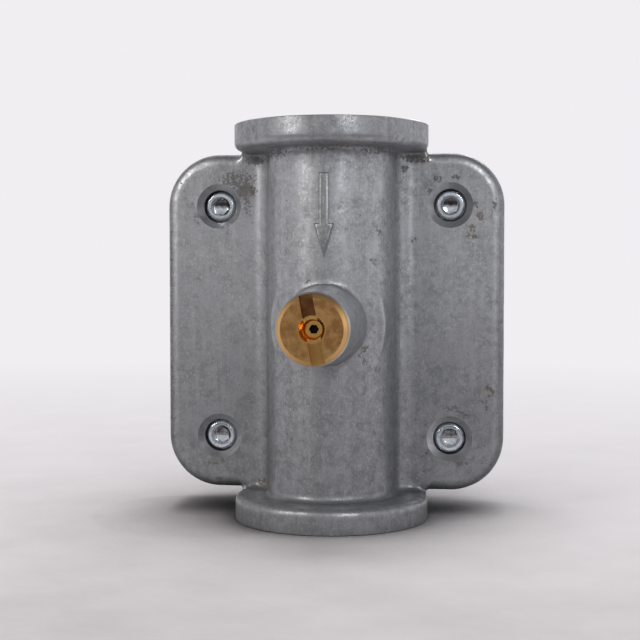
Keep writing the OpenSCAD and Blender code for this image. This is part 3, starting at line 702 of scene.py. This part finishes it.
def machined_metal():
    """Freshly cut casting metal, with the turning marks of its bores and faces."""
    material, tree, shader = new_material("machined_die_cast")
    place = here(tree)
    x, y, z = split(tree, place)
    ring_place = tree.nodes.new("ShaderNodeCombineXYZ")
    tree.links.new(distance(tree, x, y), ring_place.inputs["X"])
    rings = noise_of(tree, ring_place.outputs["Vector"], 0.35, 4, 0.7)
    haze = noise_of(tree, place, 1.8, 4, 0.6)
    tone = blend_colors(tree, spread(tree, haze, 0.3, 0.7), (0.40, 0.405, 0.42), (0.56, 0.565, 0.58))
    tone = blend_colors(tree, spread(tree, rings, 0.35, 0.7, 0, 0.25), tone, (0.28, 0.28, 0.29))
    tree.links.new(tone, shader.inputs["Base Color"])
    shader.inputs["Metallic"].default_value = 1.0
    tree.links.new(spread(tree, haze, 0.3, 0.7, 0.42, 0.28), shader.inputs["Roughness"])
    bump(tree, [(rings, 0.3, 0.03), (haze, 0.2, 0.03)], shader)
    return material


def brass_metal():
    material, tree, shader = new_material("turned_brass")
    place = here(tree)
    patina = noise_of(tree, place, 3.5, 5, 0.6)
    tone = blend_colors(tree, spread(tree, patina, 0.35, 0.7), (0.40, 0.22, 0.08), (0.62, 0.38, 0.16))
    tree.links.new(tone, shader.inputs["Base Color"])
    shader.inputs["Metallic"].default_value = 1.0
    tree.links.new(spread(tree, patina, 0.3, 0.7, 0.36, 0.22), shader.inputs["Roughness"])
    bump(tree, [(noise_of(tree, place, 0.5, 2), 0.2, 0.03)], shader)
    return material


def plug_brass():
    """Brass of the plug and its set screw: dull face, rim bright as fresh-cut metal and as a painted highlight, bore
    painted with a golden reflection, painted shade down in the slot and near-black painted shade at the bottom of the
    socket.
    """
    material, tree, shader = new_material("plug_brass")
    place = here(tree)
    x, y, z = split(tree, place)
    up = math_of(tree, "SUBTRACT", z, MID_Z)
    r = distance(tree, x, up)
    deep = math_of(tree, "SUBTRACT", y, PLUG_FACE)
    ring_place = tree.nodes.new("ShaderNodeCombineXYZ")
    tree.links.new(r, ring_place.inputs["X"])
    rings = noise_of(tree, ring_place.outputs["Vector"], 0.3, 4, 0.7)
    patina = noise_of(tree, place, 2.6, 5, 0.6)
    tone = blend_colors(tree, spread(tree, patina, 0.4, 0.62), (0.34, 0.175, 0.066), (0.64, 0.37, 0.145))
    tone = blend_colors(tree, spread(tree, rings, 0.4, 0.7, 0, 0.5), tone, (0.28, 0.14, 0.05))
    bore = spread(tree, r, 3.5, 3.2)
    # the rim chamfer is painted the bright end of the brass: fresh-cut metal, and a painted highlight
    rim = spread(tree, r, PLUG_R - 1.2, PLUG_R - 1.0)
    tone = blend_colors(tree, rim, tone, (0.66, 0.40, 0.17))
    # painted shade down in the slot, darkest in its upper half
    in_slot = times(tree, spread(tree, deep, 0.7, 1.3), spread(tree, deep, 2.5, 2.2),
                    spread(tree, r, PLUG_R + 0.1, PLUG_R - 0.2))
    slot_painted_shade = blend_colors(tree, spread(tree, up, -2.5, 2.5), (0.42, 0.24, 0.075), (0.125, 0.050, 0.020))
    tone = blend_colors(tree, times(tree, in_slot, spread(tree, patina, 0.3, 0.7, 1.0, 0.75)), tone, slot_painted_shade)
    # painted reflection: the bore glows a bright golden
    tone = blend_colors(tree, times(tree, bore, 1.0), tone, (0.80, 0.47, 0.15))
    # painted shade: the socket's bottom is painted near black
    socket = times(tree, spread(tree, r, 1.4, 1.25), spread(tree, deep, 4.6, 5.2))
    tone = blend_colors(tree, socket, tone, (0.020, 0.014, 0.012))
    tree.links.new(tone, shader.inputs["Base Color"])
    shader.inputs["Metallic"].default_value = 1.0
    rough = spread(tree, patina, 0.3, 0.7, 0.40, 0.30)
    rough = math_of(tree, "SUBTRACT", rough, times(tree, bore, 0.12))
    tree.links.new(rough, shader.inputs["Roughness"])
    bump(tree, [(rings, 0.25, 0.03), (noise_of(tree, place, 0.5, 2), 0.2, 0.03)], shader)
    return material


def plated_metal(name, color, dull, roughness):
    material, tree, shader = new_material(name)
    place = here(tree)
    haze = noise_of(tree, place, 2.0, 5, 0.62)
    tree.links.new(blend_colors(tree, spread(tree, haze, 0.35, 0.7), dull, color), shader.inputs["Base Color"])
    shader.inputs["Metallic"].default_value = 1.0
    tree.links.new(spread(tree, haze, 0.3, 0.7, roughness + 0.07, roughness - 0.04), shader.inputs["Roughness"])
    bump(tree, [(noise_of(tree, place, 0.4, 2), 0.15, 0.02)], shader)
    return material


def screw_zinc():
    """Bright zinc plate of the cap screws, with painted shade in the upper half of each socket."""
    material, tree, shader = new_material("screw_zinc")
    place = here(tree)
    x, y, z = split(tree, place)
    from_middle = math_of(tree, "SUBTRACT", z, MID_Z)
    up = math_of(tree, "SUBTRACT", from_middle, times(tree, math_of(tree, "SIGN", from_middle), SCREW_AT))
    aside = math_of(tree, "SUBTRACT", math_of(tree, "ABSOLUTE", x), SCREW_AT)
    r = distance(tree, aside, up)
    haze = noise_of(tree, place, 1.2, 4, 0.62)
    tone = blend_colors(tree, spread(tree, haze, 0.35, 0.7), (0.54, 0.58, 0.62), (0.74, 0.79, 0.84))
    # painted shade: the upper half of each socket is darkened, where its walls face down
    socket_painted_shade = times(tree, spread(tree, r, 2.5, 2.0), spread(tree, y, HEAD_FRONT + 0.5, HEAD_FRONT + 1.2))
    socket_painted_shade = times(tree, socket_painted_shade, spread(tree, up, -0.5, 0.3), spread(tree, haze, 0.35, 0.6, 1, 0.6))
    tone = blend_colors(tree, socket_painted_shade, tone, (0.060, 0.042, 0.038))
    tree.links.new(tone, shader.inputs["Base Color"])
    shader.inputs["Metallic"].default_value = 1.0
    tree.links.new(spread(tree, haze, 0.3, 0.7, 0.20, 0.10), shader.inputs["Roughness"])
    bump(tree, [(noise_of(tree, place, 0.5, 2), 0.3, 0.02)], shader)
    return material


def black_rubber():
    material, tree, shader = new_material("black_rubber")
    place = here(tree)
    bloom = noise_of(tree, place, 2.5, 4, 0.6)
    tone = blend_colors(tree, spread(tree, bloom, 0.3, 0.7), (0.012, 0.012, 0.013), (0.035, 0.034, 0.033))
    tree.links.new(tone, shader.inputs["Base Color"])
    shader.inputs["Roughness"].default_value = 0.62
    bump(tree, [(noise_of(tree, place, 0.6, 2), 0.3, 0.03)], shader)
    return material


CAST = cast_metal()
MACHINED = machined_metal()
PLUG_BRASS = plug_brass()
SCREW_ZINC = screw_zinc()
ZINC = plated_metal("zinc_plate", (0.68, 0.73, 0.78), (0.50, 0.53, 0.56), 0.17)
MATERIALS = {
    "die_cast": CAST,
    "brass": brass_metal(),
    "zinc": ZINC,
    "steel": plated_metal("turned_steel", (0.52, 0.52, 0.53), (0.38, 0.38, 0.39), 0.3),
    "spring_steel": plated_metal("spring_wire", (0.36, 0.36, 0.38), (0.24, 0.24, 0.25), 0.34),
    "rubber": black_rubber(),
}


# Pieces

def flow_arrow():
    """Raised flow arrow with drafted sides and a flat face a little proud of the tube's front."""
    centre, shaft, head = -0.15, 1.1, 2.3
    top, shoulder, tip = MID_Z + 38.95, MID_Z + 25.95, MID_Z + 17.95
    levels = []
    for grow, proud in ((0.5, -1.2), (0.2, 0.05), (0.05, 0.26), (-0.2, 0.44), (-0.5, 0.5)):
        half = [
            (shaft + grow, top + grow), (shaft + grow, shoulder + grow), (head + 1.3 * grow, shoulder + grow),
        ]
        outline = [(x, z) for x, z in half] + [(0, tip - 3.6 * grow)]
        outline += [(-x, z) for x, z in reversed(half)]
        levels.append([(centre + x, -TUBE_R - proud, z) for x, z in outline])
    return prism("flow_arrow", levels)


def cast_body():
    """The body: its casting, then every machined face, bore and thread."""
    margin = 2.2
    low = (-PLATE_HALF_W - margin, BOSS_TIP - margin, -margin)
    high = (PLATE_HALF_W + margin, COLLAR_R + margin, BODY_H + margin)
    body = new_object("cast_valve_body", surface_mesh("cast_valve_body", body_form, low, high, 0.75))
    body.data.materials.append(CAST)
    arrow = flow_arrow()
    arrow.data.materials.append(CAST)
    combine(body, arrow, "UNION")
    past = 4.0
    far = COLLAR_R + past
    facing = [(0, -past), (far, -past), (far, past + 0.2), (COLLAR_R - 0.2, 0), (0, 0)]
    port = [
        (0, -1), (PORT_R + 2.6, -1), (PORT_R + 0.6, 1), (PORT_R, 1.6),
        (PORT_R, PORT_DEPTH), (PASSAGE_R, PORT_DEPTH + 1.6), (0, PORT_DEPTH + 1.6),
    ]
    for place in (lambda o: o, flip_end):
        cut(body, place(turned("facing", facing, 128)), MACHINED)
        cut(body, place(turned("port", port)), MACHINED)
        groove = threaded("thread", [(PORT_R + 1.08, -1.5), (PORT_R + 1.08, PORT_DEPTH - 2), (PORT_R - 0.02, PORT_DEPTH - 1)],
                          PORT_R + 1.08, 1.1, 1.814, -4, PORT_DEPTH + 3)
        cut(body, place(groove), MACHINED)
    bore = [
        (0, BOSS_TIP - past), (14, BOSS_TIP - past), (14, BOSS_TIP + 14 - 8.6), (8.6, BOSS_TIP), (8.2, BOSS_TIP),
        (8.2, BOSS_TIP + 1.1), (7, BOSS_TIP + 1.1), (7, -PARTITION), (5.8, -PARTITION), (5.8, PARTITION + 1),
        (0, PARTITION + 1),
    ]
    cut(body, along_y(turned("boss_bore", bore)), MACHINED)
    wide = PLATE_HALF_W + past
    cut(body, block("back", (-wide, PLATE_BACK, COLLAR_T), (wide, PLATE_BACK + past, BODY_H - COLLAR_T)), MACHINED)
    chamber = [(0, CHAMBER_FLOOR), (CHAMBER_R, CHAMBER_FLOOR), (CHAMBER_R, PLATE_BACK + past), (0, PLATE_BACK + past)]
    cut(body, along_y(turned("chamber", chamber, 128)), MACHINED)
    guide = [(0, GUIDE_FRONT - 1), (GUIDE_R, GUIDE_FRONT - 1), (GUIDE_R, CHAMBER_FLOOR + 1), (0, CHAMBER_FLOOR + 1)]
    cut(body, along_y(turned("guide", guide)), MACHINED)
    jet = [(0, 0), (1.5, 0), (1.5, CHAMBER_FLOOR + 1), (0, CHAMBER_FLOOR + 1)]
    cut(body, along_y(turned("jet", jet, 32), z=MID_Z - JET_DROP), MACHINED)
    mouth = [
        (0, PLATE_FRONT - 1), (7.2, PLATE_FRONT - 1), (6.2, PLATE_FRONT), (4.5, PLATE_FRONT + 1.7),
        (4.5, SCREW_SEAT), (2.75, SCREW_SEAT), (2.75, PLATE_BACK + 1), (0, PLATE_BACK + 1),
    ]
    for sx in (-1, 1):
        for sz in (-1, 1):
            cutter = along_y(turned("counterbore", mouth, 64), sx * SCREW_AT, MID_Z + sz * SCREW_AT)
            cut(body, cutter, MACHINED)
    mark_surface(body, body_form)
    smooth_by_angle(body)
    return body


def cast_cover():
    """The rear cover: its casting, then its machined faces, bores and breather."""
    margin = 2.4
    low = (-COVER_HALF_W - margin, COVER_FACE - margin, MID_Z - COVER_HALF_H - margin)
    high = (COVER_HALF_W + margin, BONNET_BACK + margin, MID_Z + COVER_HALF_H + margin)
    cover = new_object("cast_rear_cover", surface_mesh("cast_rear_cover", cover_form, low, high, 0.85))
    cover.data.materials.append(CAST)
    past = 4.0
    wide = COVER_HALF_W + past
    cut(cover, block("front", (-wide, COVER_FACE - past, -past), (wide, COVER_FACE, BODY_H + past)), MACHINED)
    end = [(0, BONNET_BACK), (BONNET_TIP_R + 2, BONNET_BACK), (BONNET_TIP_R + 2, BONNET_BACK + past), (0, BONNET_BACK + past)]
    cut(cover, along_y(turned("end", end)), MACHINED)
    bore = [
        (0, COVER_FACE - 1), (CHAMBER_R, COVER_FACE - 1), (CHAMBER_R, COVER_CHAMBER_FLOOR),
        (BONNET_BORE_R, COVER_CHAMBER_FLOOR), (BONNET_BORE_R, BONNET_FLOOR), (ADJUSTER_R + 0.05, BONNET_FLOOR),
        (ADJUSTER_R + 0.05, BONNET_BACK + 1), (0, BONNET_BACK + 1),
    ]
    cut(cover, along_y(turned("bore", bore, 128)), MACHINED)
    hole = [(0, COVER_FACE - 1), (2.5, COVER_FACE - 1), (2.5, SCREW_BOSS_BACK - 1.6), (0, SCREW_BOSS_BACK - 1.6)]
    for sx in (-1, 1):
        for sz in (-1, 1):
            cut(cover, along_y(turned("hole", hole, 48), sx * SCREW_AT, MID_Z + sz * SCREW_AT), MACHINED)
    wall = MID_Z - BONNET_BASE_R
    breather = [(0, wall - 6), (2.6, wall - 6), (2.6, wall - 0.4), (1, wall + 1.6), (1, MID_Z), (0, MID_Z)]
    cutter = turned("breather", breather, 32)
    cutter.location = (0, BREATHER_Y * MM, 0)
    cut(cover, cutter, MACHINED)
    mark_surface(cover, cover_form)
    smooth_by_angle(cover)
    return cover


def cap_screws():
    """Four socket cap screws with chamfered heads, conical socket floors and rolled threads."""
    screws = []
    flat_r, edge_h = HEAD_R - 0.7, 0.9
    head = [(0, 0), (flat_r, 0), (HEAD_R, edge_h), (HEAD_R, HEAD_H), (0, HEAD_H)]
    end = screws_high.y - HEAD_FRONT
    shank = [(SHANK_R, HEAD_H - 1), (SHANK_R, end - 0.8), (SHANK_R - 0.8, end)]
    mouth = [(0, -1), (SOCKET_CORNER_R + 1.4, -1), (SOCKET_CORNER_R + 0.4, 0), (SOCKET_CORNER_R - 0.4, 0.8), (0, 0.8)]
    point_r = 1.9
    point = [(0, HEAD_H / 2 - 0.5), (point_r, HEAD_H / 2 - 0.5), (point_r, HEAD_H / 2), (0, HEAD_H / 2 + point_r * 0.577)]
    hexagon = [(0, -1), (SOCKET_CORNER_R, -1), (SOCKET_CORNER_R, HEAD_H / 2), (0, HEAD_H / 2)]
    for number, (sx, sz, turn) in enumerate(((-1, 1, 12), (1, 1, 41), (-1, -1, 27), (1, -1, 3))):
        screw = turned("cap_screw", eased(head, 0.14), 96)
        screw.data.materials.append(SCREW_ZINC)
        rod = threaded("shank", shank, SHANK_R, 0.42, 0.8, HEAD_H + 0.6, end + 2, 48)
        rod.data.materials.append(SCREW_ZINC)
        combine(screw, rod, "UNION")
        socket = turned("socket", hexagon, 6)
        socket.rotation_euler = (0, 0, math.radians(turn))
        cut(screw, socket, SCREW_ZINC)
        cut(screw, turned("point", point, 48), SCREW_ZINC)
        cut(screw, turned("mouth", eased(mouth, 0.08, 2), 96), SCREW_ZINC)
        smooth_by_angle(screw, 35)
        along_y(screw, sx * SCREW_AT, MID_Z + sz * SCREW_AT)
        screw.location.y = HEAD_FRONT * MM
        bake_place(screw)
        screws.append(screw)
    bpy.ops.object.select_all(action="DESELECT")
    for screw in screws:
        screw.select_set(True)
    bpy.context.view_layer.objects.active = screws[0]
    bpy.ops.object.join()
    screws[0].name = "zinc_cap_screws"
    return screws[0]


def threaded_adjuster():
    """The adjusting screw with its rolled thread, pointed nose and screwdriver slot."""
    low, high = adjuster_low.y, adjuster_high.y
    profile = [(0.5, low), (ADJUSTER_R - 1, low + 2), (ADJUSTER_R, low + 3), (ADJUSTER_R, high - 0.8), (ADJUSTER_R - 0.8, high)]
    screw = threaded("threaded_adjuster", profile, ADJUSTER_R, 0.62, 1.25, low + 2.4, high + 3)
    screw.data.materials.append(ZINC)
    slot = block("slot", (-0.6, -6, high - 1.8), (0.6, 6, high + 1))
    cut(screw, slot, ZINC)
    smooth_by_angle(screw, 35)
    along_y(screw)
    bake_place(screw)
    return screw


def working_spring(node):
    """A copy of a CAD spring's mesh, standing in for the hidden CAD node."""
    spring = new_object(f"coiled_{node}", nodes[node].data.copy())
    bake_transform(spring)
    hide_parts(node)


def dress_cad_nodes():
    for part in frame["record"]["subparts"]:
        mesh = nodes[part["node"]].data
        mesh.materials.clear()
        mesh.materials.append(MATERIALS[part["material_slot"]])
    for name in ("brass_plug", "bias_screw"):
        nodes[name].data.materials[0] = PLUG_BRASS


# Stage, light and camera

FLOOR_FRONT, FLOOR_BEND, SWEEP_R = -1.6, 0.75, 0.5
PALE = (0.879, 0.856, 0.887)


def soft_sweep():
    """A pale floor that curves up into the backdrop and grows paler away from the object, with painted shadow where
    the object is near and a near-black painted shade in front for all but camera rays.
    """
    profile = [(FLOOR_FRONT, 0.0), (FLOOR_BEND, 0.0)]
    for i in range(1, 25):
        turn = math.radians(90) * i / 24
        profile.append((FLOOR_BEND + SWEEP_R * math.sin(turn), SWEEP_R * (1 - math.cos(turn))))
    profile.append((FLOOR_BEND + SWEEP_R, 2.4))
    half_w = 2.2
    verts = [(side * half_w, y, z) for y, z in profile for side in (-1, 1)]
    faces = [(2 * i, 2 * i + 1, 2 * i + 3, 2 * i + 2) for i in range(len(profile) - 1)]
    mesh = bpy.data.meshes.new("sweep")
    mesh.from_pydata(verts, [], faces)
    mesh.polygons.foreach_set("use_smooth", [True] * len(mesh.polygons))
    sweep = new_object("sweep", mesh)
    material, tree, shader = new_material("pale_backdrop")
    shader.inputs["Roughness"].default_value = 0.9
    shader.inputs["Specular IOR Level"].default_value = 0.1
    place = here(tree)
    folds = noise_of(tree, place, 26, 3)
    bump(tree, [(folds, 0.5, 2.0), (noise_of(tree, place, 3.0, 3), 0.3, 0.3)], shader)
    x, y, z = split(tree, place)
    rays = tree.nodes.new("ShaderNodeLightPath")
    unseen = math_of(tree, "SUBTRACT", 1.0, rays.outputs["Is Camera Ray"])
    # painted shade: to everything but the camera, the floor in front is near black, so the metal reflects a dark
    # front
    painted_dark_front = times(tree, unseen, spread(tree, y, -120, -300))
    near = tree.nodes.new("ShaderNodeAmbientOcclusion")
    near.inputs["Distance"].default_value = 0.07
    cloth = blend_colors(tree, spread(tree, folds, 0.35, 0.65), (0.525, 0.507, 0.513), (0.575, 0.555, 0.563))
    touching = tree.nodes.new("ShaderNodeAmbientOcclusion")
    touching.inputs["Distance"].default_value = 0.012
    near.samples = touching.samples = 3
    # painted shadow: the cloth darkens where ambient occlusion finds the object near
    shade = times(tree, spread(tree, near.outputs["AO"], 0.3, 0.82, 0.2, 1),
                  spread(tree, touching.outputs["AO"], 0.5, 1.0, 0.12, 1))
    cloth = blend_colors(tree, shade, (0.0, 0.0, 0.0), cloth)
    tree.links.new(blend_colors(tree, painted_dark_front, cloth, (0.06, 0.06, 0.06)), shader.inputs["Base Color"])
    away = math_of(tree, "ADD", distance(tree, math_of(tree, "ADD", x, 35.0), y), z)
    share = math_of(tree, "POWER", spread(tree, away, 30, 600), 0.40)
    share = times(tree, share, spread(tree, y, -105, -5, 0, 1), spread(tree, near.outputs["AO"], 0.4, 0.75))
    share = math_of(tree, "MAXIMUM", share, times(tree, rays.outputs["Is Camera Ray"], spread(tree, y, -160, -700)))
    seen = math_of(tree, "MAXIMUM", rays.outputs["Is Camera Ray"], rays.outputs["Is Glossy Ray"])
    seen = math_of(tree, "MAXIMUM", seen, rays.outputs["Is Transmission Ray"])
    glow = tree.nodes.new("ShaderNodeEmission")
    glow.inputs["Color"].default_value = (*PALE, 1)
    mix = tree.nodes.new("ShaderNodeMixShader")
    tree.links.new(times(tree, share, seen), mix.inputs[0])
    tree.links.new(shader.outputs["BSDF"], mix.inputs[1])
    tree.links.new(glow.outputs["Emission"], mix.inputs[2])
    tree.links.new(mix.outputs["Shader"], tree.nodes["Material Output"].inputs["Surface"])
    mesh.materials.append(material)


def area_light(name, azimuth, elevation, reach, size, power, color, aim=(0, 0, 0.053)):
    """A soft light placed round the object: azimuth 0 is in front, positive to the right."""
    a, e = math.radians(azimuth), math.radians(elevation)
    aim = Vector(aim)
    back = Vector((math.sin(a) * math.cos(e), -math.cos(a) * math.cos(e), math.sin(e)))
    data = bpy.data.lights.new(name, "AREA")
    data.shape = "RECTANGLE"
    data.size, data.size_y = size
    data.energy = power
    data.color = color
    light = bpy.data.objects.new(name, data)
    light.location = aim + back * reach
    light.rotation_euler = (-back).to_track_quat("-Z", "Y").to_euler()
    bpy.context.scene.collection.objects.link(light)
    return light


def lights():
    """A pale room, dim in front and above, a soft box overhead and two in front above the object."""
    top_box = area_light("top_box", -165, 82, 0.85, (0.28, 0.28), 3.9, (1.0, 0.985, 1.0))
    top_box.visible_glossy = False
    area_light("back_box", 168, 38, 0.9, (0.5, 0.3), 1.6, (1.0, 0.985, 1.0))
    area_light("left_box", -43, 25, 0.9, (0.14, 0.36), 2.8, (1.0, 0.95, 0.90))
    area_light("right_box", 25, 25, 0.9, (0.14, 0.36), 1.7, (0.98, 0.98, 1.0))
    world = bpy.data.worlds.new("studio")
    bpy.context.scene.world = world
    world.use_nodes = True
    tree = world.node_tree
    coordinates = tree.nodes.new("ShaderNodeTexCoord")
    x, y, z = split(tree, coordinates.outputs["Generated"])
    low = times(tree, spread(tree, y, -0.95, -0.2, 0.58, 0.92), spread(tree, y, 0.1, 0.9, 1, 0.7))
    low = times(tree, low, spread(tree, x, -0.9, 0.9, 0.84, 1.20))
    height = spread(tree, z, 0.3, 0.75)
    level = math_of(tree, "ADD", times(tree, low, spread(tree, height, 0, 1, 1, 0)), times(tree, height, 0.2))
    rays = tree.nodes.new("ShaderNodeLightPath")
    level = math_of(tree, "MAXIMUM", level, times(tree, rays.outputs["Is Camera Ray"], 0.87))
    sky = tree.nodes["Background"]
    sky.inputs["Color"].default_value = (1.0, 0.985, 1.0, 1)
    tree.links.new(level, sky.inputs["Strength"])


def camera():
    """Fitted to the photograph: its collars, plate edges, screws and plug."""
    data = bpy.data.cameras.new("camera")
    data.sensor_width = 36.0
    data.lens = 71.18
    data.shift_x = -0.018
    data.shift_y = 0.0041
    data.clip_start, data.clip_end = 0.02, 20
    cam = bpy.data.objects.new("camera", data)
    cam.location = (0.03681, -0.33953, 0.06652)
    aim = Vector((0, 0, 0.05275))
    cam.rotation_euler = (aim - cam.location).to_track_quat("-Z", "Y").to_euler()
    bpy.context.scene.collection.objects.link(cam)
    bpy.context.scene.camera = cam


camera()
dress_cad_nodes()

for piece, node, carrier, slot in (
    (cast_body(), "valve_body", "housing", "die_cast"),
    (cast_cover(), "rear_cover", "housing", "die_cast"),
    (cap_screws(), "cover_screws", "housing", "zinc"),
    (threaded_adjuster(), "adjusting_screw", "adjuster", "zinc"),
):
    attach(piece, carrier)
    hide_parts(node)

working_spring("return_spring")
working_spring("range_spring")

soft_sweep()
lights()
bpy.context.scene.view_settings.view_transform = "Standard"
